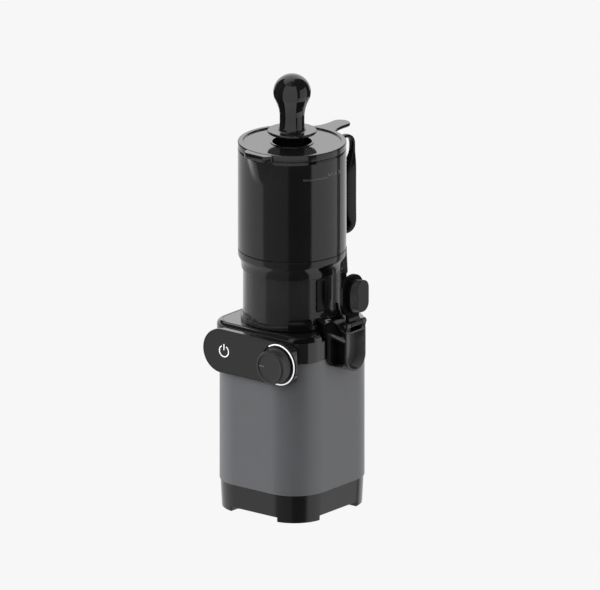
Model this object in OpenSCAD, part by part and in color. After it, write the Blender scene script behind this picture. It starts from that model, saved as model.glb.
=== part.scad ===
// Upright cold press juicer: motor base with a two-stage planetary drive,
// lift-off juicing bowl with strainer and auger, jug-shaped hopper, lid and
// ball-handled pusher.  Millimetres; +Z up; the floor is Z = 0; the control
// panel faces -Y and the two outlets face +X.

/* [Base] */
// Width of the motor housing, left to right
housing_w = 128.5; // [127:0.5:130]
// Depth of the motor housing, front to back
housing_d = 133.8; // [132:0.2:135]
// Radius of the housing's vertical corners
corner_r = 39; // [36:0.5:41]
// Wall of the housing
housing_t = 3; // [2.4:0.1:3.4]
// Height of the black base tray
tray_top = 32; // [30:0.5:34]
// Height of the housing's top edge
housing_top = 178; // [177:0.5:179]
// Height of the deck that the bowl stands on
deck_z = 205.3; // [205:0.1:205.5]

/* [Control panel] */
// Distance of each end centre of the panel from the middle
panel_c = 38.5; // [37:0.5:40]
// End radius of the panel
panel_r = 24; // [23:0.5:25]
// Front plane of the panel, measured back from the axis
panel_y = 72; // [71.5:0.1:73]
// Radius of the knob
knob_r = 18.2; // [16:0.1:19]
// How far the knob stands out of the panel
knob_h = 15; // [12:0.5:17]

/* [Bowl and hopper] */
// Outer radius of the juicing bowl
bowl_r = 51.7; // [51.5:0.1:51.8]
// Outer radius of the hopper
hopper_r = 57.1; // [56.8:0.1:57.6]
// Wall of the hopper
hopper_t = 2.4; // [2:0.1:3]
// Height of the hopper's rim
hopper_top = 392.7; // [385:0.1:395]
// Height of the level line on the hopper
level_z = 372.6; // [340:0.1:376]

/* [Drive] */
// Gear module of both planetary stages
gm = 1.25; // [1.25:0.05:1.25]
// Teeth of each sun gear
z_sun = 12; // [12:6:12]
// Teeth of each planet gear
z_planet = 18; // [18:6:18]
// Tooth thinning that leaves running backlash
backlash = 0.08; // [0.06:0.01:0.12]

/* [Pusher] */
// Radius of the ball handle
ball_r = 19.7; // [18:0.1:20]
// Radius of the pusher rod
rod_r = 9.5; // [9.45:0.01:9.5]
// Radius of the pressing plate
plate_r = 45; // [40:0.5:50]

/* [Hidden] */
$fn = 96;

hw = housing_w / 2;
hd = housing_d / 2;
z_ring = z_sun + 2 * z_planet;
cd = gm * (z_sun + z_planet) / 2;
pa = 25;            // pressure angle
ha = 0.8;           // stub addendum, in modules
hf = 1.05;          // dedendum, in modules
st1 = 119;          // bottom of the first planetary stage
st2 = 139;          // bottom of the second planetary stage
gear_h = 12;        // face width of the planets
spout_y = 11.5;     // centre line of the juice spout
spout_z = 180.4;    // centre of its mouth
mouth_x = 76.7;     // plane of its mouth
hinge_x = 75.3;     // cap hinge
hinge_z = 210.75;
knob_x = 38.5;
knob_z = 178.2;
scr = [40, 42.5];   // screw and foot position in each corner
black = [0.05, 0.05, 0.055];
grey = [0.43, 0.43, 0.45];
steel = [0.7, 0.7, 0.72];
smoke = [0.12, 0.12, 0.13, 0.6];

// ---------- outlines ----------
module rr(w, d, r) {
  polygon([[-w/2 + r, -d/2], [w/2 - r, -d/2], [w/2, -d/2 + r], [w/2, d/2 - r],
           [w/2 - r, d/2], [-w/2 + r, d/2], [-w/2, d/2 - r], [-w/2, -d/2 + r]]);
  for (sx = [-1, 1], sy = [-1, 1]) translate([sx * (w/2 - r), sy * (d/2 - r)]) circle(r);
}
// Outline of the deck: tighter corners at the front than at the back
module deck_outline(i) {
  w = 64.6 - i; f = 62 - i; b = hd - i; rf = 25 - i; rb = 39 - i;
  polygon([[-w + rf, -f], [w - rf, -f], [w, -f + rf], [w, b - rb], [w - rb, b],
           [-w + rb, b], [-w, b - rb], [-w, -f + rf]]);
  for (s = [-1, 1]) {
    translate([s * (w - rf), -f + rf]) circle(rf);
    translate([s * (w - rb), b - rb]) circle(rb);
  }
}
module stadium(c, r) {
  square([2 * c, 2 * r], center = true);
  for (s = [-1, 1]) translate([s * c, 0]) circle(r);
}
// Upright stadium extruded along Y from y0 to y1, centred on height zc
module panel_block(c, r, y0, y1, zc = 178.3) {
  translate([0, y1, zc]) rotate([90, 0, 0]) linear_extrude(y1 - y0) stadium(c, r);
}
module tube(ro, ri, z0, z1) {
  translate([0, 0, z0]) difference() {
    cylinder(r = ro, h = z1 - z0);
    translate([0, 0, -1]) cylinder(r = ri, h = z1 - z0 + 2);
  }
}
module rod(r, z0, z1) { translate([0, 0, z0]) cylinder(r = r, h = z1 - z0); }

// ---------- involute teeth ----------
function inv_deg(a) = tan(a) * 180 / PI - a;
function half_tooth(r, z, s) =
  s / (gm * z) * 180 / PI + inv_deg(pa) - inv_deg(acos(min(1, gm * z / 2 * cos(pa) / r)));
function pol(r, a) = [r * cos(a), r * sin(a)];
// Toothed outline: z teeth of thickness s at the pitch circle, root rr0, tip ra
function teeth(z, s, rr0, ra, n = 5) = [
  for (i = [0 : z - 1])
    let (a0 = 360 * i / z, rs = max(rr0, gm * z / 2 * cos(pa) + 0.001))
    each concat(
      rr0 < rs ? [pol(rr0, a0 - half_tooth(rs, z, s))] : [],
      [for (k = [0 : n]) let (r = rs + (ra - rs) * k / n) pol(r, a0 - half_tooth(r, z, s))],
      [for (k = [n : -1 : 0]) let (r = rs + (ra - rs) * k / n) pol(r, a0 + half_tooth(r, z, s))],
      rr0 < rs ? [pol(rr0, a0 + half_tooth(rs, z, s))] : [])
];
module spur(z) {
  rp = gm * z / 2;
  polygon(teeth(z, PI * gm / 2 - backlash, rp - hf * gm, rp + ha * gm));
}
module planet(zb, k) {
  color([0.82, 0.8, 0.72])
  rotate([0, 0, 120 * k]) translate([cd, 0, zb]) rotate([0, 0, 180 / z_planet - 120 * k])
    difference() {
      linear_extrude(gear_h) spur(z_planet);
      translate([0, 0, -1]) cylinder(r = 3.05, h = gear_h + 2);
    }
}
// Planet carrier: a plate with three pins reaching down through the planets
module carrier(zp) {
  rod(24.5, zp, zp + 4.5);
  for (k = [0 : 2]) rotate([0, 0, 120 * k]) translate([cd, 0, 0]) rod(3, zp - 13.2, zp + 1);
}

// ---------- base ----------
module base_tray() color(black) difference() {
  union() {
    difference() {
      hull() {
        translate([0, 0, tray_top - 0.1]) linear_extrude(0.1) rr(housing_w - 2, housing_d - 2, corner_r - 1);
        translate([0, 0, 1.5]) linear_extrude(0.1) rr(housing_w - 5, housing_d - 5, corner_r - 2.5);
      }
      translate([0, 0, 9.5]) linear_extrude(40) rr(housing_w - 10, housing_d - 10, corner_r - 5);
    }
    // register lip inside the housing
    translate([0, 0, tray_top - 4]) linear_extrude(8) difference() {
      rr(housing_w - 6.4, housing_d - 6.4, corner_r - 3.2);
      rr(housing_w - 10, housing_d - 10, corner_r - 5);
    }
    for (sx = [-1, 1], sy = [-1, 1]) translate([sx * scr[0], sy * scr[1], 0]) rod(5, 9, tray_top);
    // posts that carry the power board
    for (sx = [-1, 1], sy = [-1, 1]) translate([sx * 30, sy * 20, 0]) rod(3, 9, 14);
  }
  // skirt raised between the four corner feet
  translate([-30.5, -100, -1]) cube([61, 200, 7.5]);
  translate([-100, -30.5, -1]) cube([200, 61, 7.5]);
  for (sx = [-1, 1], sy = [-1, 1]) translate([sx * scr[0], sy * scr[1], 0]) {
    rod(10.2, 1, 3);
    rod(3.5, 2, 5.6);
    rod(1.7, 2, 40);
  }
  // air intake
  for (k = [-3 : 3]) translate([-22, k * 7 - 1.75, 5]) cube([44, 3.5, 6]);
}
module rubber_feet() color([0.12, 0.12, 0.12])
  for (sx = [-1, 1], sy = [-1, 1]) translate([sx * scr[0], sy * scr[1], 0])
    rotate_extrude() polygon([[0, 0], [9.2, 0], [10, 0.8], [10, 3], [0, 3]]);
module base_screws() color(steel)
  for (sx = [-1, 1], sy = [-1, 1]) translate([sx * scr[0], sy * scr[1], 0]) difference() {
    union() { rod(3.2, 3.05, 5.5); rod(1.5, 5.4, 48); }
    translate([0, 0, 3]) cylinder(r = 1.6, h = 1.4, $fn = 6);
  }
module motor_housing() color(grey) difference() {
  union() {
    translate([0, 0, tray_top]) linear_extrude(housing_top - tray_top) difference() {
      rr(housing_w, housing_d, corner_r);
      rr(housing_w - 2 * housing_t, housing_d - 2 * housing_t, corner_r - housing_t);
    }
    for (sx = [-1, 1], sy = [-1, 1]) translate([sx * scr[0], sy * scr[1], 0]) {
      rod(5, tray_top + 4.2, 60);
      rotate([0, 0, atan2(sy, sx)]) translate([0, -1.5, tray_top + 4.2]) cube([16.2, 3, 23]);
    }
  }
  for (sx = [-1, 1], sy = [-1, 1]) translate([sx * scr[0], sy * scr[1], 0]) rod(1.55, 30, 52);
  // window behind the control panel
  translate([-47, -hd - 1, 160]) cube([94, 14, 30]);
  // cut-out for the mains inlet
  translate([-12, hd - 5, 45]) cube([24, 10, 13]);
}
module power_inlet() color(black) union() {
  difference() {
    union() {
      translate([-15, hd - 24, 42]) cube([30, 24 - housing_t, 19]);
      translate([-11.8, hd - 5, 45.2]) cube([23.6, 4.6, 12.6]);
    }
    translate([0, hd + 1, 51.5]) rotate([90, 0, 0]) linear_extrude(18) stadium(4.6, 4);
  }
  for (s = [-1, 1]) translate([s * 4.3, hd - 10, 51.5]) rotate([90, 0, 0]) cylinder(r = 1.2, h = 8);
}
module power_board() {
  color([0.1, 0.35, 0.18]) translate([-36, -26, 14]) cube([72, 52, 1.6]);
  color([0.15, 0.15, 0.2]) for (x = [-24, -8]) translate([x, -14, 0]) rod(6, 15.6, 30);
  color([0.75, 0.72, 0.2]) translate([6, -22, 15.6]) cube([18, 14, 13]);
  color([0.1, 0.1, 0.1]) translate([6, 4, 15.6]) cube([24, 16, 12]);
  color([0.2, 0.2, 0.22]) translate([-30, 8, 15.6]) cube([26, 10, 9]);
}

// ---------- top cover ----------
module top_cover() color(black) difference() {
  union() {
    difference() {
      translate([0, 0, housing_top]) linear_extrude(deck_z - housing_top) deck_outline(0);
      translate([0, 0, housing_top - 1]) linear_extrude(deck_z - housing_top - 2) deck_outline(3);
    }
    // step that the outlets pass over
    translate([54, -33, 195]) cube([9, 65, 9]);
    // hub round the drive shaft
    rod(17, 182, 209);
    for (k = [0 : 3]) rotate([0, 0, 45 + 90 * k]) translate([47, 0, 0]) rod(5, 183, 204);
  }
  translate([57, -31, 198]) cube([20, 61, 20]);
  rod(14, 180, 202);
  rod(10, 200, 210);
  for (k = [0 : 3]) rotate([0, 0, 45 + 90 * k]) translate([47, 0, 0]) rod(1.55, 180, 198);
  translate([-47, -70, 170]) cube([94, 14, 24]);
}
module interlock_sensor() color([0.2, 0.2, 0.25]) rotate([0, 0, 15]) translate([36, -6, 198.2]) cube([14, 12, 4]);

// ---------- control panel ----------
// Plan of the pod behind its rim: both ends slant back to the housing, inset by w
module pod_plan(w) translate([0, 0, 140]) linear_extrude(80)
  polygon([[-62.6 + w, -75], [62.6 - w, -75], [62.6 - w, -69.6], [49.4 - w, -55.4], [49.4 - w, -30],
    [-49.4 + w, -30], [-49.4 + w, -55.4], [-62.6 + w, -69.6]]);
module panel_pod() color([0.1, 0.1, 0.1]) difference() {
  intersection() {
    panel_block(panel_c, panel_r, -panel_y, -47.5);
    pod_plan(0);
  }
  panel_block(panel_c, panel_r - 1.6, -panel_y - 1, -panel_y + 1.2);
  intersection() {
    panel_block(panel_c, panel_r - 3, -panel_y + 2.6, -40);
    pod_plan(3.3);
  }
  // wraps round the front corners of the housing and of the deck
  translate([0, 0, 100]) linear_extrude(housing_top + 0.05 - 100) rr(housing_w + 0.1, housing_d + 0.1, corner_r + 0.05);
  translate([0, 0, housing_top - 0.05]) linear_extrude(60) deck_outline(-0.05);
  translate([knob_x, -60, knob_z]) rotate([90, 0, 0]) cylinder(r = 6, h = 30);
}
module panel_face() color([0.13, 0.13, 0.13]) difference() {
  panel_block(panel_c, panel_r - 1.75, -panel_y, -panel_y + 1.2);
  translate([knob_x, -60, knob_z]) rotate([90, 0, 0]) cylinder(r = 6, h = 30);
}
module power_symbol() color("white") translate([-34, -panel_y, 179]) rotate([90, 0, 0]) linear_extrude(0.25) {
  difference() {
    circle(6.6);
    circle(5.5);
    polygon([[0, 0], [5.2, 9], [-5.2, 9]]);
  }
  translate([-0.55, 1.2]) square([1.1, 6.6]);
}
module knob_ring() color([0.9, 0.9, 0.9]) translate([knob_x, -panel_y, knob_z]) rotate([90, 0, 0]) difference() {
  cylinder(r = 22.2, h = 0.9);
  translate([0, 0, -1]) cylinder(r = 21, h = 3);
}
module control_board() {
  color([0.1, 0.35, 0.18]) difference() {
    translate([-44, -68.2, 162.5]) cube([88, 1.6, 30]);
    translate([knob_x, -60, knob_z]) rotate([90, 0, 0]) cylinder(r = 4.6, h = 20);
  }
  color([0.9, 0.9, 0.85]) translate([-37, -66.6, 168]) cube([10, 5, 14]);
  color([0.1, 0.1, 0.1]) translate([-16, -66.6, 172]) cube([12, 2, 12]);
}
module rotary_switch() color([0.3, 0.3, 0.35]) translate([knob_x, 0, knob_z]) difference() {
  union() {
    translate([-7.5, -66.5, -7.5]) cube([15, 10, 15]);
    translate([0, -66, 0]) rotate([90, 0, 0]) cylinder(r = 4.5, h = 4.6);
  }
  translate([0, -60, 0]) rotate([90, 0, 0]) cylinder(r = 3.05, h = 20);
}
module knob_shaft() color(steel) translate([knob_x, -60.2, knob_z]) rotate([90, 0, 0]) cylinder(r = 3, h = 21.8);
module knob() color([0.12, 0.12, 0.12]) translate([knob_x, -panel_y, knob_z]) rotate([90, 0, 0]) difference() {
  rotate_extrude() polygon([[0, 1.2], [knob_r + 0.4, 1.2], [knob_r, knob_h - 1.6], [knob_r - 0.5, knob_h - 0.5],
    [knob_r - 1.6, knob_h], [knob_r - 3, knob_h], [knob_r - 3.8, knob_h - 0.8], [0, knob_h - 0.8]]);
  translate([0, 0, -1]) cylinder(r = 3, h = 11.05);
}
module knob_pointer() color("white") translate([knob_x, -panel_y - knob_h + 0.8, knob_z])
  translate([-14, -0.25, -0.5]) cube([6.5, 0.25, 1]);

// ---------- motor ----------
module frame_plate() difference() {
  intersection() { square(84, center = true); circle(50); }
  for (k = [0 : 3]) rotate(45 + 90 * k) translate([46, 0]) circle(2.1);
}
module motor_end_lower() color([0.75, 0.76, 0.78]) difference() {
  union() {
    translate([0, 0, 48]) linear_extrude(4) frame_plate();
    rod(16, 45, 56);
    for (k = [0 : 3]) rotate([0, 0, 45 + 90 * k]) translate([46, 0, 0]) tube(4, 2.1, 50, 62);
  }
  rod(11, 46.5, 60);
  rod(5, 40, 60);
}
module motor_end_upper() color([0.75, 0.76, 0.78]) difference() {
  union() {
    translate([0, 0, 110]) linear_extrude(4) frame_plate();
    rod(16, 105, 114);
    for (k = [0 : 3]) rotate([0, 0, 45 + 90 * k]) translate([46, 0, 0]) tube(4, 2.1, 102, 112);
  }
  rod(11, 100, 112.5);
  rod(5, 100, 120);
}
module stator_core() color([0.45, 0.46, 0.5]) translate([0, 0, 62]) linear_extrude(40) difference() {
  frame_plate();
  circle(27);
  for (k = [0 : 11]) rotate(30 * k + 15) translate([32.5, 0]) square([7, 6], center = true);
}
module stator_windings() color([0.72, 0.42, 0.2]) {
  for (z = [56.5, 102]) difference() {
    rod(38, z, z + (z < 60 ? 5.5 : 3));
    rod(28, z - 1, z + 10);
  }
  for (k = [0 : 11]) rotate([0, 0, 30 * k + 15]) translate([29.2, -2.9, 61]) cube([6.6, 5.8, 42]);
}
module motor_bolts() color(steel) for (k = [0 : 3]) rotate([0, 0, 45 + 90 * k]) translate([46, 0, 0]) {
  rod(2, 46, 118.8);
  rod(3.6, 43.5, 47.95);
}
module motor_bearings() color(steel) {
  tube(10.95, 4.03, 46.6, 53.6);
  tube(10.95, 4.03, 105.4, 112.4);
}
module rotor_shaft() color(steel) { rod(4, 34, 131.5); }
module rotor_core() color([0.55, 0.55, 0.58]) {
  tube(26.5, 4, 62, 102);
  for (z = [59, 102]) tube(24, 18, z, z + 3);
}
module cooling_fan() color([0.2, 0.2, 0.22]) {
  tube(9, 4, 34.5, 43);
  tube(38, 9, 41.4, 43);
  for (k = [0 : 10]) rotate([0, 0, 360 / 11 * k]) translate([8.6, -0.8, 35]) rotate([0, 0, 8]) cube([28.5, 1.6, 7]);
}
module sun_gear() color(steel) translate([0, 0, st1 - 1]) difference() {
  linear_extrude(gear_h + 1) spur(z_sun);
  translate([0, 0, -1]) cylinder(r = 4, h = gear_h + 3);
}

// ---------- gearbox ----------
module gearbox_base() color([0.6, 0.61, 0.63]) difference() {
  union() {
    translate([0, 0, 114]) linear_extrude(3) frame_plate();
    tube(37, 33, 116, 118);
    for (k = [0 : 3]) rotate([0, 0, 45 + 90 * k]) translate([46, 0, 0]) rod(4.5, 114, 117);
  }
  rod(9.5, 110, 125);
  for (k = [0 : 3]) rotate([0, 0, 45 + 90 * k]) translate([46, 0, 0]) rod(2.05, 110, 120);
}
module ring_gear() color([0.85, 0.85, 0.8]) translate([0, 0, 118]) linear_extrude(34) difference() {
  circle(37);
  rotate(180 / z_ring) polygon(teeth(z_ring, PI * gm / 2 + backlash,
    gm * z_ring / 2 - ha * gm, gm * z_ring / 2 + hf * gm, 4));
}
module gearbox_cover() color([0.6, 0.61, 0.63]) difference() {
  union() {
    rod(37, 152, 162);
    rod(19, 160, 172);
    translate([0, 0, 158]) linear_extrude(4) intersection() { square(84, center = true); circle(53); }
    for (k = [0 : 3]) rotate([0, 0, 45 + 90 * k]) translate([47, 0, 0]) rod(5, 158, 182.9);
  }
  rod(26, 150, 158.4);
  rod(14, 162, 180);
  rod(9, 150, 180);
  for (k = [0 : 3]) rotate([0, 0, 45 + 90 * k]) translate([47, 0, 0]) rod(1.7, 150, 190);
}
module gearbox_screws() color(steel) for (k = [0 : 3]) rotate([0, 0, 45 + 90 * k]) translate([47, 0, 0]) {
  rod(3.2, 155, 157.95);
  rod(1.5, 157, 196);
}
module planet_1a() planet(st1, 0);
module planet_1b() planet(st1, 1);
module planet_1c() planet(st1, 2);
module planet_2a() planet(st2, 0);
module planet_2b() planet(st2, 1);
module planet_2c() planet(st2, 2);
// First carrier with the second sun gear on top
module carrier_1() color(steel) {
  carrier(st1 + 13);
  translate([0, 0, st1 + 17]) linear_extrude(gear_h + 3.6) spur(z_sun);
}
module carrier_2() color(steel) difference() {
  carrier(st2 + 13.3);
  rod(6, 150, 160);
}
module drive_shaft() color(steel) {
  rod(6, st2 + 13.3, 210);
  translate([0, 0, 209.5]) cylinder(r = 9.24, h = 26.5, $fn = 6);
}
module shaft_bearings() color(steel) {
  tube(13.95, 6.03, 162.05, 170);
  tube(13.95, 6.03, 186, 194);
}
module shaft_seal() color([0.35, 0.2, 0.12]) difference() {
  rod(13.95, 195.5, 201.9);
  rod(6.04, 190, 205);
  tube(12.5, 9, 198, 203);
}

// ---------- juicing bowl ----------
module juicing_bowl() color(smoke) difference() {
  union() {
    rod(bowl_r, 206, 268);
    rod(54, 206, 211);
    // lug at the back that the collar's tab locks over
    rotate([0, 0, 33]) rotate_extrude(angle = 18) polygon([[50.5, 210.5], [56.2, 212], [57.6, 255.4], [50.5, 255.4]]);
  }
  difference() { rod(bowl_r - 2.6, 209, 270); rod(20.5, 205, 222); }
  rod(18, 200, 225);
  // ways out to the juice spout and the pulp chute
  translate([40, -2.3, 209]) cube([20, 27.6, 3.3]);
  translate([40, -18.4, 209]) cube([20, 11.2, 8]);
  rotate([0, 0, 15]) translate([43, 0, 0]) rod(4.05, 205, 208.2);
}
module interlock_magnet() color(steel) rotate([0, 0, 15]) translate([43, 0, 0]) rod(4, 206.1, 208.15);
module bowl_seal() color([0.75, 0.2, 0.15]) difference() {
  rod(17.95, 214, 222);
  rod(12.06, 210, 225);
  tube(16, 13.6, 213, 219);
}
// Raised strip on the outside of the bowl
module interlock_rail() color(black) rotate([0, 0, -22]) rotate_extrude(angle = 11.5)
  polygon([[bowl_r + 0.03, 224.5], [bowl_r + 1.6, 226], [bowl_r + 1.6, 259], [bowl_r + 0.03, 261]]);
module strainer_frame() color([0.2, 0.2, 0.2]) difference() {
  union() {
    tube(42, 40.4, 211, 262);
    tube(48.8, 40.4, 261, 263);
    tube(42, 24, 209.1, 212);
  }
  for (k = [0 : 11]) rotate([0, 0, 30 * k]) translate([30, -8, 217]) cube([20, 16, 40]);
  // pulp passage
  rotate([0, 0, -19]) translate([24, -8, 211.9]) cube([20, 14, 5]);
}
module strainer_mesh() color(steel) difference() {
  rod(40.35, 216, 258);
  rod(40, 215, 260);
  for (k = [0 : 47]) rotate([0, 0, 7.5 * k + 2.5]) translate([36, -0.5, 220]) cube([8, 1, 34]);
}
// X-Z side profile, extruded across the Y range y0..y1
module side(y0, y1, pts) translate([0, y1, 0]) rotate([90, 0, 0]) linear_extrude(y1 - y0) polygon(pts);
// Y-Z outline of the spout: round below, straight sides above
module spout_cross(x0, x1, r, zb) translate([x0, 0, 0]) rotate([90, 0, 90]) linear_extrude(x1 - x0) {
  translate([spout_y, zb + r]) circle(r);
  translate([spout_y - r, zb + r]) square([2 * r, 80]);
}
module juice_spout() color(smoke) difference() {
  union() {
    intersection() {
      spout_cross(40, mouth_x, 16.5, 158.4);
      side(-20, 40, [[40, 206], [57.6, 206], [57.6, 198.4], [65, 198.4], [65, 150], [mouth_x, 150],
        [mouth_x, 203.2], [69.2, 206.4], [65, 210.6], [58, 213.4], [50, 214.6], [40, 214.6]]);
    }
    // rib that stiffens the hood against the bowl
    side(10.4, 12.6, [[44, 212], [64, 209], [59, 214.5], [54.6, 222], [53, 228.5], [44, 228.5]]);
    // hinge knuckles
    for (y = [-4.8, 21.2]) translate([hinge_x, y, hinge_z]) rotate([-90, 0, 0]) cylinder(r = 3.1, h = 6.4);
    for (y = [-4.8, 21.2]) translate([0, y, 0]) rotate([90, 0, 0]) mirror([0, 0, 1]) linear_extrude(6.4)
      polygon([[67.5, 205], [76, 202], [78.2, hinge_z], [hinge_x - 2.4, hinge_z + 1.8], [66.8, 212]]);
  }
  intersection() {
    spout_cross(39, mouth_x + 1, 14.1, 160.8);
    side(-20, 40, [[39, 208.6], [59.9, 208.6], [59.9, 200.8], [66.7, 200.8], [66.7, 150], [mouth_x + 1, 150],
      [mouth_x + 1, 200.6], [67.2, 204.2], [63.4, 208.4], [57.2, 211], [49.6, 212.3], [39, 212.3]]);
  }
  rod(bowl_r + 0.05, 200, 240);
  rod(54.05, 200, 211.05);
  translate([hinge_x, -10, hinge_z]) rotate([-90, 0, 0]) cylinder(r = 1.52, h = 50);
}
// Cross-section of the chute, left wall at y0, floor at z0, lower left corner rounded by r
module chute_cross(x0, x1, y0, z0, r) translate([x0, 0, 0]) rotate([90, 0, 90]) linear_extrude(x1 - x0) {
  translate([y0 + r, z0 + r]) circle(r);
  translate([y0, z0 + r]) square([40, 90]);
  translate([y0 + r, z0]) square([40, 90]);
}
module pulp_chute() color(black) difference() {
  intersection() {
    side(-40, 0, [[46, 206], [57.6, 206], [57.6, 198.4], [65, 198.4], [65, 168], [80, 168], [80, 190.7],
      [66.6, 206.5], [59.6, 214], [46, 219]]);
    translate([0, 0, 140]) linear_extrude(110)
      polygon([[47, -5.1], [47, -20], [58.5, -21], [66.8, -23.9], [70, -20], [mouth_x, -9], [mouth_x, -5.1]]);
    chute_cross(40, 90, -24, 168, 11);
  }
  intersection() {
    side(-60, -7.2, [[66.8, 170.4], [88, 170.4], [88, 178.9], [66.8, 202.3]]);
    chute_cross(60, 95, -21.6, 170.4, 8.6);
  }
  side(-18.4, -7.2, [[44, 208.5], [57, 208.5], [60.2, 204.5], [60.2, 200.8], [68, 200.8], [65.6, 204.4], [58.7, 211.8], [44, 217.2]]);
  tube(bowl_r + 0.05, 30, 190, 240);
  tube(54.05, 30, 190, 211.05);
}
module spout_cap() color(black) difference() {
  union() {
    // oval cover plate, shown swung up above the spout
    translate([69.9, 0, 0]) rotate([90, 0, 90]) linear_extrude(4) {
      translate([spout_y - 1.05, 2 * hinge_z - spout_z]) rr(35.1, 45.4, 16.4);
    }
    // plug: straight where it seals, then a nose with one slanted side
    translate([73.8, 0, 0]) rotate([90, 0, 90]) linear_extrude(4.7)
      translate([spout_y, 2 * hinge_z - spout_z]) rr(26.8, 37.2, 13.3);
    hull() {
      translate([78.3, 0, 0]) rotate([90, 0, 90]) linear_extrude(0.2)
        translate([spout_y, 2 * hinge_z - spout_z]) rr(26, 36.4, 12.9, $fn = 48);
      translate([83.2, 0, 0]) rotate([90, 0, 90]) linear_extrude(0.2)
        translate([spout_y + 3.75, 2 * hinge_z - spout_z]) rr(19.2, 34.6, 9.5, $fn = 48);
    }
    // arm and middle knuckle
    translate([hinge_x, 2.2, hinge_z]) rotate([-90, 0, 0]) cylinder(r = 3.1, h = 18.4);
    side(2.2, 20.6, [[69.9, 224], [69.9, 213], [73.8, hinge_z + 1.2], [75.9, hinge_z + 2.6], [73.9, 217], [73.9, 224]]);
  }
  translate([hinge_x, -10, hinge_z]) rotate([-90, 0, 0]) cylinder(r = 1.56, h = 50);
}
module spout_hinge_pin() color(steel) translate([hinge_x, -4.8, hinge_z]) rotate([-90, 0, 0]) cylinder(r = 1.5, h = 32.4);

// ---------- auger ----------
module auger() color([0.09, 0.09, 0.09]) difference() {
  union() {
    rotate_extrude() polygon([[0, 213], [12, 213], [12, 224], [22.6, 224], [22.6, 227.5], [19.5, 232],
      [18.5, 256], [15, 276], [10, 290], [6, 296], [0, 296]]);
    tube(22.6, 21, 213, 226);
    tube(39.2, 20, 226.5, 229.5);
    translate([0, 0, 229]) linear_extrude(height = 33, twist = -330, slices = 40, $fn = 8) square([77, 4.4], center = true);
    translate([0, 0, 261.5]) linear_extrude(height = 26, twist = -170, slices = 24, scale = 0.62, $fn = 8)
      square([58, 4.4], center = true);
  }
  translate([0, 0, 212]) cylinder(r = 9.3, h = 25, $fn = 6);
}

// ---------- hopper ----------
module hopper_ring() color(smoke) union() {
  rotate_extrude() polygon([[52.2, 262], [53.4, 262], [53.9, 268], [54.9, 271.6], [56.3, 274.2], [hopper_r, 276.5],
    [hopper_r, 282.6], [33, 282.6], [33, 280.2], [45, 280.2], [45, 268.4], [52.2, 268.4]]);
  // locking tab that reaches down over the bowl
  rotate([0, 0, 31]) rotate_extrude(angle = 20) polygon([[53.2, 256], [58.4, 256], [58.8, 258], [57.5, 282.6],
    [56, 282.6], [56, 276], [53.2, 268]]);
}
module spout_lip(g, z0) hull() {
  translate([-18 + g, -63.5 + g * 1.2, hopper_top - 0.1 + z0]) cube([36 - 2 * g, 5, 0.1]);
  translate([-18 + g, -50, hopper_top - 0.1 + z0]) cube([36 - 2 * g, 1, 0.1]);
  translate([-5 + g / 2, -hopper_r + 1 + g, 369 + g]) cube([10 - g, 4, 0.1]);
}
module hopper() color(smoke) difference() {
  union() {
    rotate_extrude() polygon([[33, 282.8], [hopper_r, 282.8], [hopper_r, hopper_top], [hopper_r - hopper_t, hopper_top],
      [hopper_r - hopper_t, 293], [52, 290], [33, 285.6]]);
    difference() { spout_lip(0, 0); rod(hopper_r - 1, 300, 400); }
    // level line
    rotate([0, 0, -38]) rotate_extrude(angle = 58) polygon([[hopper_r - 0.2, level_z - 0.35], [hopper_r + 0.15, level_z - 0.35],
      [hopper_r + 0.15, level_z + 0.35], [hopper_r - 0.2, level_z + 0.35]]);
  }
  spout_lip(1.8, 0.2);
}
module hopper_gasket() color([0.6, 0.6, 0.6]) tube(48.9, 46.6, 264, 268.35);
module handle_bow(w) translate([-w / 2, 0, 0]) rotate([90, 0, 90]) linear_extrude(w) difference() {
  translate([103.7 - 35, 331]) rr(70, 108, 12);
  translate([99 - 35, 331.2]) rr(70, 100.6, 8);
  translate([0, 250]) square([56, 150]);
}
module hopper_handle() color(black) difference() {
  union() {
    // narrow above the grip, full width below it
    handle_bow(6);
    intersection() {
      handle_bow(12);
      translate([-10, 50, 270]) cube([20, 60, 30]);
    }
    // rounded grip
    hull() {
      translate([0, 94.35, 292]) linear_extrude(60) rr(12, 18.7, 5);
      translate([-3, 98.9, 288]) cube([6, 4.8, 74]);
    }
  }
  rod(hopper_r + 0.02, 270, 400);
}

// ---------- lid and pusher ----------
module lid() color([0.08, 0.08, 0.08]) difference() {
  union() {
    rod(hopper_r, hopper_top + 0.1, 400);
    tube(hopper_r - hopper_t - 0.25, hopper_r - hopper_t - 2.4, 385, 395);
    // thumb tab at the back
    translate([0, 0, 396.4]) linear_extrude(3.6) hull() {
      translate([0, 81.5]) circle(10.5, $fn = 32);
      translate([-13, 40]) square([26, 10]);
    }
    // lip over the pour spout
    translate([-18.4, -64.2, hopper_top + 0.1]) cube([36.8, 20, 400 - hopper_top - 0.1]);
  }
  rod(51.5, 398.4, 402);
  rod(51, 380, 394.8);
  rod(22.05, 380, 402);
}
module lid_guide() color(black) difference() {
  union() {
    rod(13, 386.5, 409);
    rod(22, 386.5, 398.5);
    rod(23.2, 398.4, 399.2);
  }
  // well round the guide tube
  tube(20.6, 13, 388.5, 402);
  rod(rod_r + 0.05, 380, 415);
}
zc = 453.3;
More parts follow.
